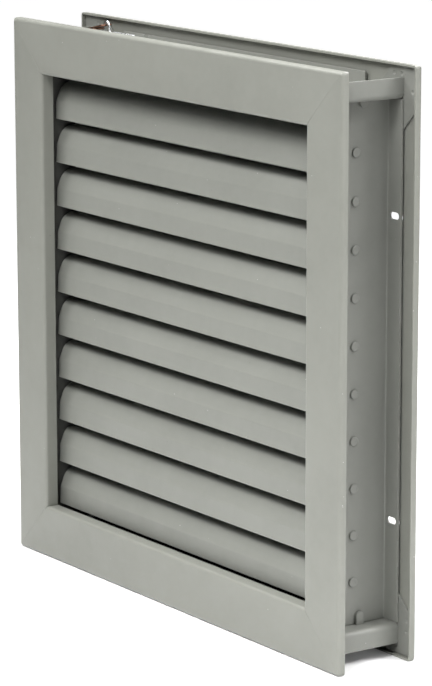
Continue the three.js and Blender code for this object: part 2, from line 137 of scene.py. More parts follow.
LINK_SHEET = 0.8 * mm
LINK_WIDTH = 8 * mm
LINK_CORNER = 1.6 * mm
LINK_SLOT = 1.1 * mm            # half the length of the lower plate's slot for the bar's neck
LINK_SLOPE = math.radians(12.3)
LINK_LIFT = 321.6 * mm
LOWER_PLATE = (-2.6 * mm, 13 * mm)
UPPER_PLATE = (5 * mm, 22 * mm)
HOOK_AT = 19.6 * mm
HOOK_MARGIN = 0.5 * mm          # round the hook's wire, in its hole in the upper plate
WIRE_RADIUS = 0.8 * mm
WIRE_DOME = 0.35                # how far its ends rise to a point, where its radius is 1
SPRING_WIRE = 0.36 * mm
SPRING_RADIUS = 2.6 * mm        # to the middle of the wire
SPRING_PITCH = 1.06             # from turn to turn, where close-wound is 1
TURN_STEPS = 20                 # points on each turn
POST_GAP = 5 * mm               # from the spring to the post's upstand
POST_ARM = 0.75 * mm            # radius
POST_BEND = 1 * mm

# Paint
RECESS_SHADE_TONE = 0.3                    # tone of the painted shade on the jambs' inner faces, where the paint's is 1
SHADE_FADE = 0.2 * mm           # how far that painted shade fades to each side of its edge
HIGHLIGHT_TONE = 1.35              # tone of the painted highlight on sharp bends and free edges
HIGHLIGHT_SHARE = 0.36             # how much of that highlight's tone shows on a sharp bend
RUBBED_GLOSS = 0.13             # how much less its roughness is there
DUST = (230, 0.085, 0.16, 0.3)  # specks: cells per metre, speck radius, share of cells, and seed
PITS = (150, 0.06, 0.14, 4.1)

# Lights: name, azimuth and elevation in degrees, and power
LIGHTS = [
    ("key_right", 30, 50, 4.2),
    ("key_front", -25, 43, 2.1),
    ("high_left", -70, 60, 3.8),
    ("high_side", 100, 72, 2.2),
    ("low_side", 100, 12, 0.85),
    ("front_right", 45, 30, 1.0),
    ("rear_right", 125, 42, 3.6),
    ("rear_fill", 205, 38, 3.5),
]
LIGHT_DISTANCE = 1.5            # metres, from the grille's middle
LIGHT_SIZE = 0.5                # metres
LIGHT_SPREAD = math.radians(84)
LIGHT_AIM = Vector((120, -27, 30)) * mm     # low on the right, so the grille's foot is brightest
AMBIENT = 0.01                  # strength of the world as a light
WHITE = 1.02                    # and to the camera
FLOOR_REACH = 12                # metres from its middle to its sides
FLOOR_DROP = 0.05 * mm          # below the grille's foot
NEAR_GLOW = 0.05                # of the floor near the grille, to the camera only
FAR_GLOW = 1.0                  # and of the floor behind it
GLOW_REACH = (0.22, 0.55)       # from the grille's middle

CAMERA_PLACE = Vector((1.51964, -1.04961, 0.54269))
CAMERA_AIM = Vector((0.0496, -0.02699, 0.1660))
CAMERA_ROLL = math.radians(-0.066)
CAMERA_LENS = 171.1
SENSOR_WIDTH = 36

# ---------- places, read from the frame ----------

BODY = {node: body for body, nodes in frame["record"]["behaviour"]["bodies"].items() for node in nodes}
LOW, HIGH = cad_box
HALF = (HIGH.x - LOW.x) / 2
HEIGHT = HIGH.z
CENTRE_Z = HEIGHT / 2
FRONT, REAR = LOW.y, HIGH.y
PIVOTS = {joint["child"]: Vector(joint["pos_m"])
          for joint in frame["record"]["behaviour"]["joints"] if "blade" in joint["child"]}
PIVOT_Y = PIVOTS["blade_01"].y
CORE_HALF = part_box("sill_rail")[1].x                     # half the core's width, over the rails' straps
CORE_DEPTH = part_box("sill_rail")[1].y                    # and half its depth
WEB_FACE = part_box("side_jamb_right")[0].x + CORE_SHEET   # outer face of the right jamb's web
RAIL_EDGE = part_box("sill_rail")[0].z
RAIL_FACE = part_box("side_jamb_right")[0].z - PLAY        # top of the sill rail's web
BLADE_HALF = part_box("blade_01")[1].x
BAR_LOW, BAR_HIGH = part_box("drive_bar")
BAR_X = (BAR_LOW.x + BAR_HIGH.x) / 2
BAR_HALF = (BAR_HIGH.y - BAR_LOW.y) / 2                  # half its width
# The drive stud, from its blade's pivot
STUD = Vector((0, DRIVE_RADIUS * math.cos(CLOSING_ANGLE / 2), DRIVE_RADIUS * math.sin(CLOSING_ANGLE / 2)))
STUD_Y = PIVOT_Y + STUD.y


# ---------- mesh helpers ----------

def bent_line(corners, steps=BEND_STEPS):
    """A folded sheet's middle line: [(point, normal, how much it is bent there, or how near a free edge, for
    its painted highlight)] in a plane.

    Each corner is (a, b, radius), or (a, b) at an end or along a flat."""
    points = [Vector(corner[:2]) for corner in corners]
    line = []
    for i, point in enumerate(points):
        arriving = (point - points[i - 1]).normalized() if i else None
        leaving = (points[i + 1] - point).normalized() if i + 1 < len(points) else None
        if arriving is None or leaving is None or len(corners[i]) == 2:
            along = arriving or leaving
            normal = Vector((-along.y, along.x))
            # A free edge gets the full painted highlight, fading out a little way in.
            if arriving is None:
                line += [(point, normal, EDGE_HIGHLIGHT), (point + along * EDGE_HIGHLIGHT_REACH, normal, 0.0)]
            elif leaving is None:
                line += [(point - along * EDGE_HIGHLIGHT_REACH, normal, 0.0), (point, normal, EDGE_HIGHLIGHT)]
            else:
                line.append((point, normal, 0.0))
            continue
        radius = corners[i][2]
        turn = math.atan2(arriving.x * leaving.y - arriving.y * leaving.x, arriving.dot(leaving))
        side = math.copysign(1, turn)
        start = point - arriving * radius * math.tan(abs(turn) / 2)
        centre = start + Vector((-arriving.y, arriving.x)) * radius * side
        # Sharp bends get a painted highlight: lighter colour along their middle.
        bend_sheen = 1.0 if radius < SHARP_BEND else 0.0
        for step in range(steps + 1):
            angle = turn * step / steps
            along = Matrix.Rotation(angle, 2) @ arriving
            normal = Vector((-along.y, along.x))
            line.append((centre - normal * radius * side, normal, bend_sheen * math.sin(math.pi * step / steps)))
    return line


def folded_sheet(corners, thickness, steps=BEND_STEPS):
    """The folded sheet's section: [(point on one face, point on the other, how much it is bent)]."""
    return [(p + n * thickness / 2, p - n * thickness / 2, bent) for p, n, bent in bent_line(corners, steps)]


def solid_from_rings(rings, bent):
    """A closed mesh from rings of (outside, inside) points, one ring for each station along a sheet."""
    bm = bmesh.new()
    worn = bm.verts.layers.float.new("bent")
    grid = []
    for ring in rings:
        row = []
        for (outside, inside), amount in zip(ring, bent):
            pair = bm.verts.new(outside), bm.verts.new(inside)
            for vert in pair:
                vert[worn] = amount
            row.append(pair)
        grid.append(row)
    for near, far in zip(grid, grid[1:]):
        for (a0, b0), (a1, b1), (c0, d0), (c1, d1) in zip(near, near[1:], far, far[1:]):
            bm.faces.new((a0, a1, c1, c0))
            bm.faces.new((b1, b0, d0, d1))
        for (a, b), (c, d) in ((near[0], far[0]), (near[-1], far[-1])):
            bm.faces.new((b, a, c, d))
    for row in (grid[0], grid[-1]):
        for (a0, b0), (a1, b1) in zip(row, row[1:]):
            bm.faces.new((a0, b0, b1, a1))
    bmesh.ops.recalc_face_normals(bm, faces=bm.faces)
    return bm


def to_mesh(name, bm):
    mesh = bpy.data.meshes.new(name)
    bm.to_mesh(mesh)
    bm.free()
    return mesh


def folded_mesh(name, corners, thickness, ends, place, steps=BEND_STEPS):
    """A folded sheet's mesh between two ends; place turns (a, b, along) into x, y, z."""
    section = folded_sheet(corners, thickness, steps)
    rings = [[(place(*a, along), place(*b, along)) for a, b, _ in section] for along in ends]
    return to_mesh(name, solid_from_rings(rings, [bent for _, _, bent in section]))


def solid_from_outline(outline, start, end, place):
    """A closed mesh of an outline swept from start to end; place turns (a, b, along) into x, y, z."""
    bm = bmesh.new()
    ends = [[bm.verts.new(place(a, b, along)) for a, b in outline] for along in (start, end)]
    for verts in ends:
        bm.faces.new(verts)
    for i, vert in enumerate(ends[0]):
        after = (i + 1) % len(outline)
        bm.faces.new((vert, ends[0][after], ends[1][after], ends[1][i]))
    bmesh.ops.recalc_face_normals(bm, faces=bm.faces)
    return bm


def along_x(a, b, along):
    return Vector((along, a, b))


def along_y(a, b, along):
    return Vector((a, along, b))


def along_z(a, b, along):
    return Vector((a, b, along))


def arc(centre, radius, start, end, steps):
    """Points on an arc, from start to end in half turns."""
    angles = (math.pi * (start + (end - start) * i / steps) for i in range(steps + 1))
    return [(centre[0] + radius * math.cos(t), centre[1] + radius * math.sin(t)) for t in angles]


def turned(profile, place, steps):
    """A closed solid turned from (radius, along) points, which start and end on the axis."""
    bm = bmesh.new()
    rings = []
    for radius, along in profile:
        if radius == 0:
            rings.append([bm.verts.new(place(0, 0, along))] * steps)
        else:
            turns = (2 * math.pi * i / steps for i in range(steps))
            rings.append([bm.verts.new(place(radius * math.cos(t), radius * math.sin(t), along))
                          for t in turns])
    for near, far in zip(rings, rings[1:]):
        for i in range(steps):
            after = (i + 1) % steps
            corners = dict.fromkeys((near[i], near[after], far[after], far[i]))
            bm.faces.new(tuple(corners))
    bmesh.ops.recalc_face_normals(bm, faces=bm.faces)
    return bm


def rod(radius, start, end, centre, place=along_x):
    a, b = centre
    profile = [(0, start), (radius, start), (radius, end), (0, end)]
    return turned(profile, lambda u, v, along: place(a + u, b + v, along), ROD_STEPS)


def block(low, high):
    """A plain box, as a cutter or as stock for other work."""
    bm = bmesh.new()
    bmesh.ops.create_cube(bm, size=1)
    size = Vector(high) - Vector(low)
    for vert in bm.verts:
        vert.co = Vector([start + (c + 0.5) * s for start, c, s in zip(low, vert.co, size)])
    return bm


def combine(mesh, others, operation):
    """The mesh after its boolean with each of the other solids."""
    stock = bpy.data.objects.new("stock", mesh)
    bpy.context.scene.collection.objects.link(stock)
    tools = []
    for i, other in enumerate(others):
        tool = bpy.data.objects.new(f"tool_{i}", to_mesh(f"tool_{i}", other))
        bpy.context.scene.collection.objects.link(tool)
        tools.append(tool)
        modifier = stock.modifiers.new(tool.name, "BOOLEAN")
        modifier.operation = operation
        modifier.solver = "EXACT"
        modifier.object = tool
    shape = bpy.data.meshes.new_from_object(stock.evaluated_get(bpy.context.evaluated_depsgraph_get()))
    for thing in [stock, *tools]:
        bpy.data.objects.remove(thing)
    return shape


def cut(mesh, cutters):
    return combine(mesh, cutters, "DIFFERENCE")


def join(mesh, others):
    return combine(mesh, others, "UNION")


def piece(node, mesh, material, edge=EDGE):
    """Finish a piece that stands for a CAD node and rides on its body."""
    made = bpy.data.objects.new(f"{node}_shell", mesh)
    bpy.context.scene.collection.objects.link(made)
    mesh.materials.clear()
    mesh.materials.append(material)
    mesh.shade_smooth()
    if edge:
        bevel = made.modifiers.new("edge", "BEVEL")
        bevel.width = edge
        bevel.segments = 2
        bevel.limit_method = "ANGLE"
        bevel.angle_limit = EDGE_TURN
        bevel.harden_normals = True
        bevel.use_clamp_overlap = True
    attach(made, BODY[node])
    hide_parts(node)


# ---------- materials ----------

class Nodes:
    """Short calls for a material's node tree."""

    def __init__(self, name):
        self.material = bpy.data.materials.new(name)
        self.material.use_nodes = True
        self.tree = self.material.node_tree
        self.shader = self.tree.nodes["Principled BSDF"]
        self.place = self.add("ShaderNodeTexCoord").outputs["Object"]

    def add(self, kind, **settings):
        node = self.tree.nodes.new(kind)
        for key, value in settings.items():
            setattr(node, key, value)
        return node

    def link(self, source, target):
        self.tree.links.new(source, target)

    def noise(self, scale, detail=2.0, roughness=0.5, stretch=None):
        node = self.add("ShaderNodeTexNoise")
        node.inputs["Scale"].default_value = scale
        node.inputs["Detail"].default_value = detail
        node.inputs["Roughness"].default_value = roughness
        source = self.place
        if stretch:
            mapping = self.add("ShaderNodeMapping")
            mapping.inputs["Scale"].default_value = stretch
            self.link(self.place, mapping.inputs["Vector"])
            source = mapping.outputs["Vector"]
        self.link(source, node.inputs["Vector"])
        return node.outputs["Fac"]

    def ramp(self, value, low, high, out_low=0.0, out_high=1.0):
        node = self.add("ShaderNodeMapRange")
        node.interpolation_type = "SMOOTHSTEP"
        for key, number in zip(("From Min", "From Max", "To Min", "To Max"), (low, high, out_low, out_high)):
            node.inputs[key].default_value = number
        self.link(value, node.inputs["Value"])
        return node.outputs["Result"]

    def math(self, operation, a, b):
        node = self.add("ShaderNodeMath", operation=operation)
        for socket, value in zip(node.inputs, (a, b)):
            if isinstance(value, (int, float)):
                socket.default_value = value
            else:
                self.link(value, socket)
        return node.outputs["Value"]

    def mix(self, factor, a, b):
        node = self.add("ShaderNodeMix", data_type="RGBA")
        sockets = [node.inputs[0], node.inputs[6], node.inputs[7]]
        for socket, value in zip(sockets, (factor, a, b)):
            if isinstance(value, (int, float)):
                socket.default_value = value
            elif isinstance(value, (tuple, list)):
                socket.default_value = (*value, 1.0)
            else:
                self.link(value, socket)
        return node.outputs[2]

    def specks(self, scale, radius, share, seed, amount=1.0):
        """A mask of scattered round specks: cells per metre, speck radius in cells, share of cells."""
        mapping = self.add("ShaderNodeMapping")
        mapping.inputs["Location"].default_value = (seed, seed * 1.7, -seed)
        self.link(self.place, mapping.inputs["Vector"])
        cells = self.add("ShaderNodeTexVoronoi")
        cells.inputs["Scale"].default_value = scale
        self.link(mapping.outputs["Vector"], cells.inputs["Vector"])
        size = self.add("ShaderNodeSeparateColor")
        self.link(cells.outputs["Color"], size.inputs["Color"])
        kept = self.ramp(size.outputs["Red"], 1 - share * amount, 1.0, 0.0, radius)
        near = self.math("SUBTRACT", kept, cells.outputs["Distance"])
        return self.ramp(near, 0.0, radius * 0.5)

    def bump(self, height, strength, distance, below=None):
        node = self.add("ShaderNodeBump")
        node.inputs["Strength"].default_value = strength
        node.inputs["Distance"].default_value = distance
        self.link(height, node.inputs["Height"])
        if below is not None:
            self.link(below, node.inputs["Normal"])
        return node.outputs["Normal"]

    def attribute(self, name):
        return self.add("ShaderNodeAttribute", attribute_name=name).outputs["Fac"]


def shade(colour, factor):
    return tuple(channel * factor for channel in colour)


def enamel(name, colour, roughness, dust=1.0, shade_within=None):
    """Satin sprayed enamel: faint mottling and orange peel, dust, dark pits, and a painted highlight with
    less roughness on sharp bends and free edges.

    Nearer the grille's middle than the given reach, the colour is darkened: painted shade on the jambs' inner
    faces, in the recess beside the blades."""
    n = Nodes(name)
    cloud = n.ramp(n.noise(14, 3), 0.3, 0.7)
    mottle = n.ramp(n.noise(160, 4, 0.6), 0.25, 0.75)
    tone = n.mix(cloud, shade(colour, 0.97), shade(colour, 1.04))
    tone = n.mix(n.math("MULTIPLY", mottle, 0.22), tone, shade(colour, 1.16))
    # Painted highlight: sharp bends and free edges are lightened, standing in for the bright lines where they
    # catch the light.
    bend_highlight = n.math("MULTIPLY", n.attribute("bent"), n.ramp(n.noise(90, 3), 0.35, 0.75, 0.45, 0.75))
    tone = n.mix(n.math("MULTIPLY", bend_highlight, HIGHLIGHT_SHARE), tone, shade(colour, HIGHLIGHT_TONE))
    specks = n.specks(*DUST, dust)
    tone = n.mix(n.math("MULTIPLY", specks, 0.55), tone, (0.72, 0.72, 0.69))
    tone = n.mix(n.math("MULTIPLY", n.specks(*PITS, dust), 0.5), tone, (0.07, 0.07, 0.06))
    # Painted shade: within the given reach of the grille's middle, the jambs' inner faces go dark.
    if shade_within:
        apart = n.add("ShaderNodeSeparateXYZ")
        n.link(n.place, apart.inputs["Vector"])
        across = n.math("ABSOLUTE", apart.outputs["X"], 0)
        unshaded = n.ramp(across, shade_within - SHADE_FADE, shade_within + SHADE_FADE)
        tone = n.mix(unshaded, shade(colour, RECESS_SHADE_TONE), tone)
    n.link(tone, n.shader.inputs["Base Color"])
    gloss = n.ramp(n.noise(45, 3), 0.3, 0.7, roughness - 0.05, roughness + 0.06)
    bend_sheen = n.math("MULTIPLY", n.attribute("bent"), RUBBED_GLOSS)
    n.link(n.math("SUBTRACT", gloss, bend_sheen), n.shader.inputs["Roughness"])
    n.shader.inputs["Specular IOR Level"].default_value = 0.5
    n.shader.inputs["IOR"].default_value = 1.48
    waves = n.bump(n.noise(18, 1), 0.20, 0.10 * mm)
    peel = n.bump(n.noise(750, 2, 0.45), 0.30, 0.020 * mm, waves)
    grit = n.bump(specks, 0.6, 0.05 * mm, peel)
    n.link(grit, n.shader.inputs["Normal"])
    return n.material


def zinc_plate():
    n = Nodes("zinc_plate")
    cloud = n.ramp(n.noise(380, 4, 0.65), 0.3, 0.7)
    n.link(n.mix(cloud, (0.52, 0.53, 0.54), (0.78, 0.79, 0.80)), n.shader.inputs["Base Color"])
    n.shader.inputs["Metallic"].default_value = 1.0
    n.link(n.ramp(n.noise(900, 3), 0.3, 0.7, 0.22, 0.36), n.shader.inputs["Roughness"])
    n.link(n.bump(n.noise(1400, 2), 0.2, 0.02 * mm), n.shader.inputs["Normal"])
    return n.material


def copper_strip():
    n = Nodes("copper_strip")
    cloud = n.ramp(n.noise(420, 4, 0.6), 0.3, 0.72)
    tone = n.mix(cloud, (0.20, 0.095, 0.065), (0.47, 0.26, 0.18))
    n.link(tone, n.shader.inputs["Base Color"])
    n.shader.inputs["Metallic"].default_value = 1.0
    n.link(n.ramp(cloud, 0, 1, 0.42, 0.3), n.shader.inputs["Roughness"])
    n.link(n.bump(n.noise(700, 3, 0.5, (1, 0.1, 1)), 0.3, 0.03 * mm), n.shader.inputs["Normal"])
    return n.material


CORE_TONE = (0.190, 0.194, 0.176)
FRAME_PAINT = enamel("frame_enamel", (0.212, 0.216, 0.192), 0.46)
CORE_PAINT = enamel("core_enamel", CORE_TONE, 0.52, dust=1.6)
# The jambs' paint, with painted shade on their inner faces beside the blades.
JAMB_PAINT_WITH_SHADE = enamel("jamb_enamel_with_painted_shade", CORE_TONE, 0.52, dust=1.6, shade_within=WEB_FACE - CORE_SHEET / 2)
BLADE_PAINT = enamel("blade_enamel", (0.206, 0.211, 0.190), 0.46)
ZINC = zinc_plate()
COPPER = copper_strip()


# ---------- frames ----------

def frame_member():
    """The lower member of a front frame, mitred at both ends.

    It gives rings of points (across, depth, height), and how much each is bent."""
    mid = FRAME_SHEET / 2
    section = folded_sheet([
        (OUTER_LIP, mid),
        (mid, mid, FRAME_BEND),
        (mid, WELD_END),
        (mid, FACE_WIDTH - mid, FRAME_BEND),
        (INNER_LIP, FACE_WIDTH - mid),
    ], FRAME_SHEET)
    turns = [0, 0.25, 0.5, 0.75, 1.0]

    def station(point, turn, side):
        """Where a point of the section goes at a stretch of the rounded end; turn 1 is the mitre."""
        depth, rise = point
        angle = turn * math.pi / 4
        opened = max(0, (rise - WELD_END) / (FACE_WIDTH - WELD_END))
        seam = (SEAM_CLOSED + (SEAM_OPEN - SEAM_CLOSED) * opened) * turn
        start = HALF - CORNER_ROUND
        if rise < CORNER_ROUND:
            across = start + (CORNER_ROUND - rise) * math.sin(angle)
            height = CORNER_ROUND - (CORNER_ROUND - rise) * math.cos(angle)
        else:
            across = start - (rise - CORNER_ROUND)
            height = rise
        return Vector((side * (across - seam - (1 - turn) * END_STRETCH), depth, height))

    stations = [(turn, -1) for turn in reversed(turns)] + [(turn, 1) for turn in turns]
    rings = [[(station(a, *at), station(b, *at)) for a, b, _ in section] for at in stations]
    return rings, [bent for _, _, bent in section]


def corner_key():
    """The L-shaped key's outline about the frame's middle, in its lower left corner."""
    outer = -HALF + FRAME_SHEET + PLAY
    inner = -HALF + FACE_WIDTH - FRAME_SHEET - PLAY
    return [
        (outer, outer),
        (outer + KEY_OFFSET, outer),
        (inner + KEY_OFFSET, inner),
        (inner, inner),
        (inner, inner + KEY_OFFSET),
        (outer, outer + KEY_OFFSET),
    ]


def key_stakes():
    """Where the key is staked to the frame's face, about the frame's middle."""
    outer = -HALF + FRAME_SHEET + PLAY
    return [(outer + a, outer + b) for a, b in STAKES]


def add_frame(name, behind):
    """Four members and four keys; the rear frame is the front one turned about the vertical."""
    facing = -1 if behind else 1
    face = REAR if behind else FRONT
    rings, bent = frame_member()
    sides = ["bottom", "left", "top", "right"]
    corners = ["bottom_left", "top_left", "top_right", "bottom_right"]
    if behind:
        sides = ["bottom", "right", "top", "left"]
        corners = ["bottom_right", "top_right", "top_left", "bottom_left"]
    for quarter in range(4):
        turn = Matrix.Rotation(quarter * math.pi / 2, 3, "Y")

        def place(point):
            about = turn @ Vector((point.x, point.y, point.z - HALF))
            return Vector((about.x * facing, face + about.y * facing, about.z + HALF))

        node = f"{name}_frame_{sides[quarter]}"
        placed = [[(place(a), place(b)) for a, b in ring] for ring in rings]
        mesh = to_mesh(node, solid_from_rings(placed, bent))
        if behind and sides[quarter] in ("left", "right"):
            mesh = cut(mesh, screw_slots(1 if sides[quarter] == "right" else -1, FRAME_SLOT))
        piece(node, mesh, FRAME_PAINT)

        node = f"{name}_corner_key_{corners[quarter]}"
        low = FRAME_SHEET + PLAY
        plate = solid_from_outline(corner_key(), low, low + KEY_SHEET,
                                   lambda a, b, along: place(Vector((a, along, b + HALF))))
        dishes = [stake(place(Vector((a, low + KEY_SHEET, b + HALF))), facing) for a, b in key_stakes()]
        piece(node, cut(to_mesh(node, plate), dishes), CORE_PAINT)


def stake(centre, facing):
    """A shallow dished cutter on the side of a key that faces the door."""
    dish = ((0, -1), (0.35, -0.92), (0.7, -0.55), (1, 0), (1.02, 1), (0, 1))
    profile = [(STAKE_RADIUS * radius, STAKE_DEPTH * along) for radius, along in dish]
    return turned(profile, lambda a, b, along: centre + Vector((a, along * facing, b)), steps=24)


def screw_slots(side, slot):
    """Cutters for one side's screw slots, round at both ends, through the faces near the jamb's rear."""
    ends, heights, tall = slot
    radius = tall / 2
    low, high = sorted(side * x for x in ends)
    cutters = []
    for z in heights:
        outline = arc((low + radius, z), radius, 0.5, 1.5, HALF_ROUND_STEPS)
        outline += arc((high - radius, z), radius, -0.5, 0.5, HALF_ROUND_STEPS)
        cutters.append(solid_from_outline(outline, CORE_DEPTH - SLOT_CUT, CORE_DEPTH + SLOT_CUT, along_y))
    return cutters


# ---------- core ----------

def add_jamb(name, side):
    """A channel that opens outwards, with pivot holes in its web and screw slots in its rear flange."""
    web = WEB_FACE - CORE_SHEET / 2
    flange = CORE_DEPTH - CORE_SHEET / 2
    low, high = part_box(name)
    mesh = folded_mesh(name, [
        (side * CORE_HALF, -flange),
        (side * web, -flange, JAMB_BEND),
        (side * web, flange, JAMB_BEND),
        (side * CORE_HALF, flange),
    ], CORE_SHEET, (low.z, high.z), along_z)
    ends = sorted((side * (WEB_FACE - 2 * CORE_SHEET), side * (WEB_FACE + CORE_SHEET)))
    holes = [rod(RIVET_RADIUS + RUN_CLEARANCE, *ends, (pivot.y, pivot.z)) for pivot in PIVOTS.values()]
    piece(name, cut(mesh, holes + screw_slots(side, JAMB_SLOT)), JAMB_PAINT_WITH_SHADE)


def lock_tab(side, face, rise, up):
    """A lock tab, round at its free end, that stands on a rail's web beside the jamb."""
    half = TAB_WIDTH / 2
    foot = face - up * CORE_SHEET / 2
    outline = [(TAB_Y - half, foot), (TAB_Y + half, foot)]
    top = arc((TAB_Y, face + rise - half), half, 0, 1, HALF_ROUND_STEPS)
    outline += [(a, face + up * (b - face)) for a, b in top]
    start = WEB_FACE + PLAY if side > 0 else -WEB_FACE - PLAY - TAB_SHEET
    return solid_from_outline(outline, start, start + TAB_SHEET, along_x)


def add_rail(name, up, slots=()):
    """A tray: up is 1 for the sill rail, whose web is on top, and -1 for the head rail."""
    height = (lambda z: z) if up > 0 else (lambda z: HEIGHT - z)
    strap = CORE_HALF - CORE_SHEET / 2
    web = RAIL_FACE - CORE_SHEET / 2
    mesh = folded_mesh(name, [
        (-strap, height(RAIL_EDGE)),
        (-strap, height(web), RAIL_BEND),
        (strap, height(web), RAIL_BEND),
        (strap, height(RAIL_EDGE)),
    ], CORE_SHEET, (-CORE_DEPTH, CORE_DEPTH), along_y, RAIL_BEND_STEPS)
    low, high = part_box(name)
    rise = (high.z - RAIL_FACE) if up > 0 else (HEIGHT - RAIL_FACE - low.z)
    added = [lock_tab(side, height(RAIL_FACE), rise, up) for side in (-1, 1)]
    for side in (-1, 1):
        faces = sorted((side * CORE_DEPTH, side * (CORE_DEPTH - CORE_SHEET)))
        levels = sorted((height(RAIL_EDGE), height(RAIL_FACE - CORE_SHEET / 2)))
        added.append(block((-FLANGE_HALF, faces[0], levels[0]), (FLANGE_HALF, faces[1], levels[1])))
    mesh = join(mesh, added)
    if slots:
        mesh = cut(mesh, slots)
    piece(name, mesh, CORE_PAINT)


def bar_slot():
    """The slot in the head rail that the drive bar runs through."""
    half = BAR_HALF + BAR_MARGIN
    web = HEIGHT - RAIL_FACE
    return block((BAR_X - BAR_MARGIN, STUD_Y - half, web - CORE_SHEET),
                 (BAR_X + BAR_MARGIN, STUD_Y + half, web + 2 * CORE_SHEET))


def add_stop(name, up):
    """A folded strip on a rail: an upstand, and a foot that lies on the rail's web to its rear."""
    low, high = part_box(name)
    foot, tip = (low.z, high.z) if up > 0 else (high.z, low.z)
    mid = STOP_SHEET / 2
    mesh = folded_mesh(name, [
        (high.y, foot + up * mid),
        (low.y + mid, foot + up * mid, STOP_BEND),
        (low.y + mid, tip),
    ], STOP_SHEET, (low.x, high.x), along_x)
    piece(name, mesh, CORE_PAINT)


# ---------- blades, rivets and drive bar ----------

def arch_side():
    """The front half of a blade's arch, from the leg's foot up."""
    return [(-LEG_HALF_SPAN, -LEG_DROP), (-CREASE[0], *CREASE[1:]), (-SHOULDER[0], *SHOULDER[1:])]


def with_rear(front):
    """The corners of a front half, and then of the rear half that mirrors it."""
    return front + [(-y, *rest) for y, *rest in reversed(front)]


def blade_corners():
    """One folded sheet: front leg, crown, hem folded back on itself, crown, rear leg."""
    leaf = BLADE_SHEET / 2 + HEM_PLAY
    top = HEM_TOP - BLADE_SHEET / 2
    return with_rear([*arch_side(), (-leaf, SHOULDER[1], HEM_FOOT_BEND), (-leaf, top, leaf)])


def ear_outline():
    """The ear fills the arch's end, down to its straight lower edge."""
    line = bent_line(with_rear(arch_side()), BLADE_BEND_STEPS)
    crown = [(point.x, point.y) for point, _, _ in line if point.y > EAR_BOTTOM]
    return [(-EAR_HALF_FOOT, EAR_BOTTOM), *crown, (EAR_HALF_FOOT, EAR_BOTTOM)]


def blade_mesh():
    """A blade about its own pivot."""
    mesh = folded_mesh("blade", blade_corners(), BLADE_SHEET, (-BLADE_HALF, BLADE_HALF), along_x,
                       BLADE_BEND_STEPS)
    inner, outer = BLADE_HALF - EAR_SHEET, BLADE_HALF - EAR_INSET
    ears = [solid_from_outline(ear_outline(), *ends, along_x) for ends in ((inner, outer), (-outer, -inner))]
    stud = rod(STUD_RADIUS, BAR_X - BAR_SHEET / 2, -inner - EAR_SHEET / 2, (STUD.y, STUD.z))
    mesh = join(mesh, [*ears, stud])
    hole = rod(RIVET_RADIUS + RUN_CLEARANCE, -BLADE_HALF - mm, BLADE_HALF + mm, (0, 0))
    return cut(mesh, [hole])


def rivet(side):
    """A pivot rivet about the blade's axis: flat head on the jamb's web, tail inside the ear."""
    low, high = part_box(f"pivot_rivet_{'right' if side > 0 else 'left'}_01")
    inner, outer = (low.x, high.x) if side > 0 else (-high.x, -low.x)
    head, rise = RIVET_HEAD
    tail, depth = RIVET_TAIL
    profile = [
        (0, inner), (tail * 0.62, inner), (tail * 0.88, inner + depth * 0.2),
        (tail, inner + depth * 0.55), (tail, inner + depth), (RIVET_RADIUS, inner + depth),
        (RIVET_RADIUS, outer - rise), (head * 0.97, outer - rise), (head, outer - rise * 0.85),
        (head, outer - rise * 0.5), (head * 0.95, outer - rise * 0.22), (head * 0.84, outer - rise * 0.06),
        (head * 0.7, outer), (head * 0.45, outer - rise * 0.05), (0, outer - rise * 0.12),
    ]
    return turned(profile, lambda a, b, along: Vector((side * along, a, b)), steps=36)


def add_blades():
    """Ten blades from one mesh, each with a rivet at both ends."""
    stock = blade_mesh()
    for name, pivot in PIVOTS.items():
        mesh = stock.copy()
        mesh.transform(Matrix.Translation(pivot))
        piece(name, mesh, BLADE_PAINT, edge=BLADE_EDGE)
        number = name[-2:]
        for side, word in ((1, "right"), (-1, "left")):
            node = f"pivot_rivet_{word}_{number}"
            mesh = to_mesh(node, rivet(side))
            mesh.transform(Matrix.Translation(pivot))
            piece(node, mesh, CORE_PAINT, edge=0)


def add_drive_bar():
    """A flat bar, round at its foot, with a neck at its top that the link holds."""
    top = BAR_HIGH.z
    shoulder = top - BAR_NECK_RISE
    outline = [(STUD_Y + BAR_HALF, shoulder), (STUD_Y + BAR_NECK, shoulder), (STUD_Y + BAR_NECK, top),
               (STUD_Y - BAR_NECK, top), (STUD_Y - BAR_NECK, shoulder), (STUD_Y - BAR_HALF, shoulder)]
    outline += arc((STUD_Y, BAR_LOW.z + BAR_HALF), BAR_HALF, 1, 2, HALF_ROUND_STEPS)
    mesh = to_mesh("drive_bar", solid_from_outline(outline, BAR_LOW.x, BAR_HIGH.x, along_x))
    holes = [rod(STUD_RADIUS + RUN_CLEARANCE, BAR_LOW.x - mm, BAR_HIGH.x + mm, (STUD_Y, pivot.z + STUD.z))
             for pivot in PIVOTS.values()]
    piece("drive_bar", cut(mesh, holes), ZINC, edge=FINE_EDGE)


# ---------- fusible link, hook and spring ----------

LINK_PLACE = Matrix.Translation((BAR_X, STUD_Y, LINK_LIFT)) @ Matrix.Rotation(-LINK_SLOPE, 4, "Y")


def link_plate(ends, lift, cutter):
    """A plate with round corners, drawn in the link's own slanted frame."""
    start, end = ends[0] + LINK_CORNER, ends[1] - LINK_CORNER
    half = LINK_WIDTH / 2 - LINK_CORNER
    outline = []
    for quarter, corner in enumerate([(end, half), (start, half), (start, -half), (end, -half)]):
        outline += arc(corner, LINK_CORNER, quarter / 2, (quarter + 1) / 2, 6)
    plate = solid_from_outline(outline, lift - LINK_SHEET / 2, lift + LINK_SHEET / 2, along_z)
    mesh = cut(to_mesh("plate", plate), [cutter])
    mesh.transform(LINK_PLACE)
    return mesh


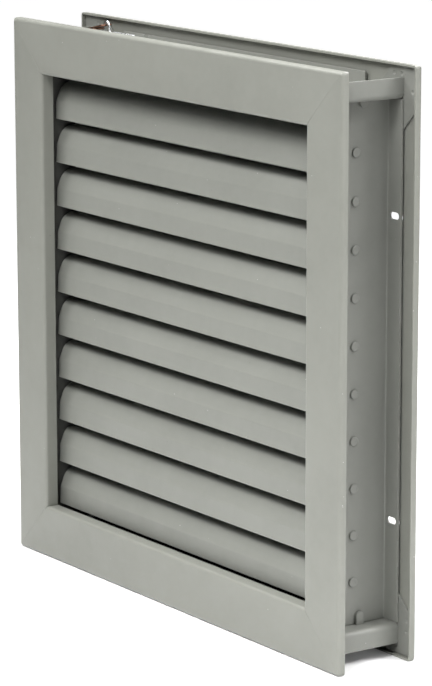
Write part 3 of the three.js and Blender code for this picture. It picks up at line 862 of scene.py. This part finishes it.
def tube(name, points, radius, sides=16):
    """A round wire along points, as a mesh whose ends rise to a low point."""
    bm = bmesh.new()
    turns = [2 * math.pi * i / sides for i in range(sides)]
    up = None
    grid = []
    headings = []
    for i, point in enumerate(points):
        along = (points[min(i + 1, len(points) - 1)] - points[max(i - 1, 0)]).normalized()
        if up is None:
            up = along.orthogonal().normalized()
        up = (up - along * up.dot(along)).normalized()
        across = along.cross(up)
        grid.append([bm.verts.new(point + (up * math.cos(t) + across * math.sin(t)) * radius) for t in turns])
        headings.append(along)
    for near, far in zip(grid, grid[1:]):
        for i in range(sides):
            after = (i + 1) % sides
            bm.faces.new((near[i], near[after], far[after], far[i]))
    for end, sign in ((0, -1), (-1, 1)):
        tip = bm.verts.new(points[end] + headings[end] * sign * radius * WIRE_DOME)
        for i in range(sides):
            bm.faces.new((grid[end][i], grid[end][(i + 1) % sides], tip))
    bmesh.ops.recalc_face_normals(bm, faces=bm.faces)
    return to_mesh(name, bm)


def smooth_route(points, steps=10):
    """A Catmull-Rom curve through the points."""
    padded = [points[0] * 2 - points[1], *points, points[-1] * 2 - points[-2]]
    route = []
    for a, b, c, d in zip(padded, padded[1:], padded[2:], padded[3:]):
        for step in range(steps):
            t = step / steps
            route.append(0.5 * (2 * b + (c - a) * t + (2 * a - 5 * b + 4 * c - d) * t ** 2
                                + (3 * b - a - 3 * c + d) * t ** 3))
    return [*route, points[-1]]


def add_link():
    """Two plates, one over the other: the lower on the bar's neck, the upper on the hook."""
    slot = block((-LINK_SLOT, -BAR_NECK - PLAY, -LINK_SHEET), (LINK_SLOT, BAR_NECK + PLAY, LINK_SHEET))
    lower = link_plate(LOWER_PLATE, 0, slot)
    piece("fusible_link_lower_plate", lower, COPPER, edge=FINE_EDGE)
    lift = LINK_SHEET + PLAY
    hole = rod(WIRE_RADIUS + HOOK_MARGIN, lift - mm, lift + mm, (HOOK_AT, 0), along_z)
    upper = link_plate(UPPER_PLATE, lift, hole)
    piece("fusible_link_upper_plate", upper, COPPER, edge=FINE_EDGE)


def add_hook_and_spring():
    """The hook goes through the upper plate's hole, over its end and into the close-wound spring."""
    low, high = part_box("hold_open_spring")
    axis_y = (low.y + high.y) / 2
    axis_z = (low.z + high.z) / 2
    bend = UPPER_PLATE[1] + 1.8 * mm
    local = [(HOOK_AT - 2.2 * mm, -2.6 * mm), (HOOK_AT - 0.4 * mm, -1.6 * mm), (HOOK_AT, 0.2 * mm),
             (HOOK_AT, 1.75 * mm), (HOOK_AT + 1.4 * mm, 2.75 * mm), (bend - 0.9 * mm, 2.6 * mm),
             (bend, 1 * mm), (bend, -3.4 * mm)]
    route = [LINK_PLACE @ Vector((a, 0, b)) for a, b in local]
    route += [Vector((low.x - 1.5 * mm, axis_y, axis_z)), Vector((low.x + 1.5 * mm, axis_y, axis_z))]
    piece("link_hook", tube("link_hook", smooth_route(route), WIRE_RADIUS), ZINC, edge=0)

    start, end = low.x + SPRING_WIRE, high.x - SPRING_WIRE
    turns = (end - start) / (2 * SPRING_WIRE * SPRING_PITCH)
    count = int(turns * TURN_STEPS)
    coil = []
    for i in range(count + 1):
        angle = 2 * math.pi * turns * i / count
        offset = Vector((0, math.cos(angle), math.sin(angle))) * SPRING_RADIUS
        coil.append(Vector((start + (end - start) * i / count, axis_y, axis_z)) + offset)
    piece("hold_open_spring", tube("hold_open_spring", coil, SPRING_WIRE, sides=8), ZINC, edge=0)


def add_post():
    """The bracket that holds the spring's far end: an upstand and a foot, folded, and a round arm."""
    low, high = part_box("spring_post")
    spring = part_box("hold_open_spring")
    axis_z = (spring[0].z + spring[1].z) / 2
    y = (low.y + high.y) / 2
    mid = CORE_SHEET / 2
    upstand = spring[1].x + POST_GAP + mid
    mesh = folded_mesh("spring_post", [
        (upstand, high.z),
        (upstand, low.z + mid, POST_BEND),
        (high.x, low.z + mid),
    ], CORE_SHEET, (low.y, high.y), along_y)
    mesh = join(mesh, [rod(POST_ARM, spring[1].x + PLAY, upstand, (y, axis_z))])
    piece("spring_post", mesh, ZINC, edge=FINE_EDGE)


# ---------- stage, lights and camera ----------

def add_stage():
    """The world is white to the camera, and to all else only a dim ambient light.

    The floor glows to the camera alone: faintly round the grille, and white behind it."""
    world = bpy.data.worlds.new("studio")
    bpy.context.scene.world = world
    world.use_nodes = True
    tree = world.node_tree
    seen = tree.nodes.new("ShaderNodeLightPath").outputs["Is Camera Ray"]
    strength = tree.nodes.new("ShaderNodeMapRange")
    strength.inputs["To Min"].default_value = AMBIENT
    strength.inputs["To Max"].default_value = WHITE
    tree.links.new(seen, strength.inputs["Value"])
    tree.links.new(strength.outputs["Result"], tree.nodes["Background"].inputs["Strength"])
    tree.nodes["Background"].inputs["Color"].default_value = (1.0, 1.0, 1.0, 1.0)

    slab = block((-FLOOR_REACH, -FLOOR_REACH, -20 * mm), (FLOOR_REACH, FLOOR_REACH, -FLOOR_DROP))
    floor = bpy.data.objects.new("floor", to_mesh("floor", slab))
    bpy.context.scene.collection.objects.link(floor)
    n = Nodes("floor_white")
    tone = n.mix(n.noise(3, 2), (0.80, 0.80, 0.80), (0.83, 0.83, 0.83))
    n.link(tone, n.shader.inputs["Base Color"])
    n.shader.inputs["Roughness"].default_value = 0.9
    n.shader.inputs["Specular IOR Level"].default_value = 0.1
    away = n.add("ShaderNodeVectorMath", operation="LENGTH")
    n.link(n.place, away.inputs[0])
    glow = n.ramp(away.outputs["Value"], *GLOW_REACH, NEAR_GLOW, FAR_GLOW)
    seen = n.add("ShaderNodeLightPath").outputs["Is Camera Ray"]
    n.link(n.math("MULTIPLY", seen, glow), n.shader.inputs["Emission Strength"])
    n.shader.inputs["Emission Color"].default_value = (1, 1, 1, 1)
    floor.data.materials.append(n.material)


def direction(azimuth, elevation):
    """A unit vector from the grille: azimuth 0 is in front of it and 90 to its right, in degrees."""
    a, e = math.radians(azimuth), math.radians(elevation)
    return Vector((math.cos(e) * math.sin(a), -math.cos(e) * math.cos(a), math.sin(e)))


def add_light(name, azimuth, elevation, power):
    """A square softbox with a grid on it, aimed at the foot of the grille."""
    data = bpy.data.lights.new(name, "AREA")
    data.shape = "SQUARE"
    data.size = LIGHT_SIZE
    data.spread = LIGHT_SPREAD
    data.energy = power
    lamp = bpy.data.objects.new(name, data)
    bpy.context.scene.collection.objects.link(lamp)
    lamp.location = Vector((0, 0, CENTRE_Z)) + direction(azimuth, elevation) * LIGHT_DISTANCE
    lamp.rotation_mode = "QUATERNION"
    lamp.rotation_quaternion = (LIGHT_AIM - lamp.location).to_track_quat("-Z", "Y")
    lamp.visible_camera = False


def add_camera():
    """The photo's view: from the front right and a little above, with a long lens."""
    data = bpy.data.cameras.new("camera")
    data.lens = CAMERA_LENS
    data.sensor_width = SENSOR_WIDTH
    data.clip_end = 60
    camera = bpy.data.objects.new("camera", data)
    bpy.context.scene.collection.objects.link(camera)
    camera.location = CAMERA_PLACE
    camera.rotation_mode = "QUATERNION"
    roll = Matrix.Rotation(CAMERA_ROLL, 4, "Z").to_quaternion()
    camera.rotation_quaternion = (CAMERA_AIM - CAMERA_PLACE).to_track_quat("-Z", "Y") @ roll
    bpy.context.scene.camera = camera


# ---------- assembly ----------

add_camera()
add_stage()
for light in LIGHTS:
    add_light(*light)
bpy.context.scene.view_settings.view_transform = "Standard"

add_frame("front", False)
add_frame("rear", True)
add_jamb("side_jamb_left", -1)
add_jamb("side_jamb_right", 1)
add_rail("sill_rail", 1)
add_rail("head_rail", -1, [bar_slot()])
add_stop("sill_stop", 1)
add_stop("head_stop", -1)
add_blades()
add_drive_bar()
add_link()
add_hook_and_spring()
add_post()
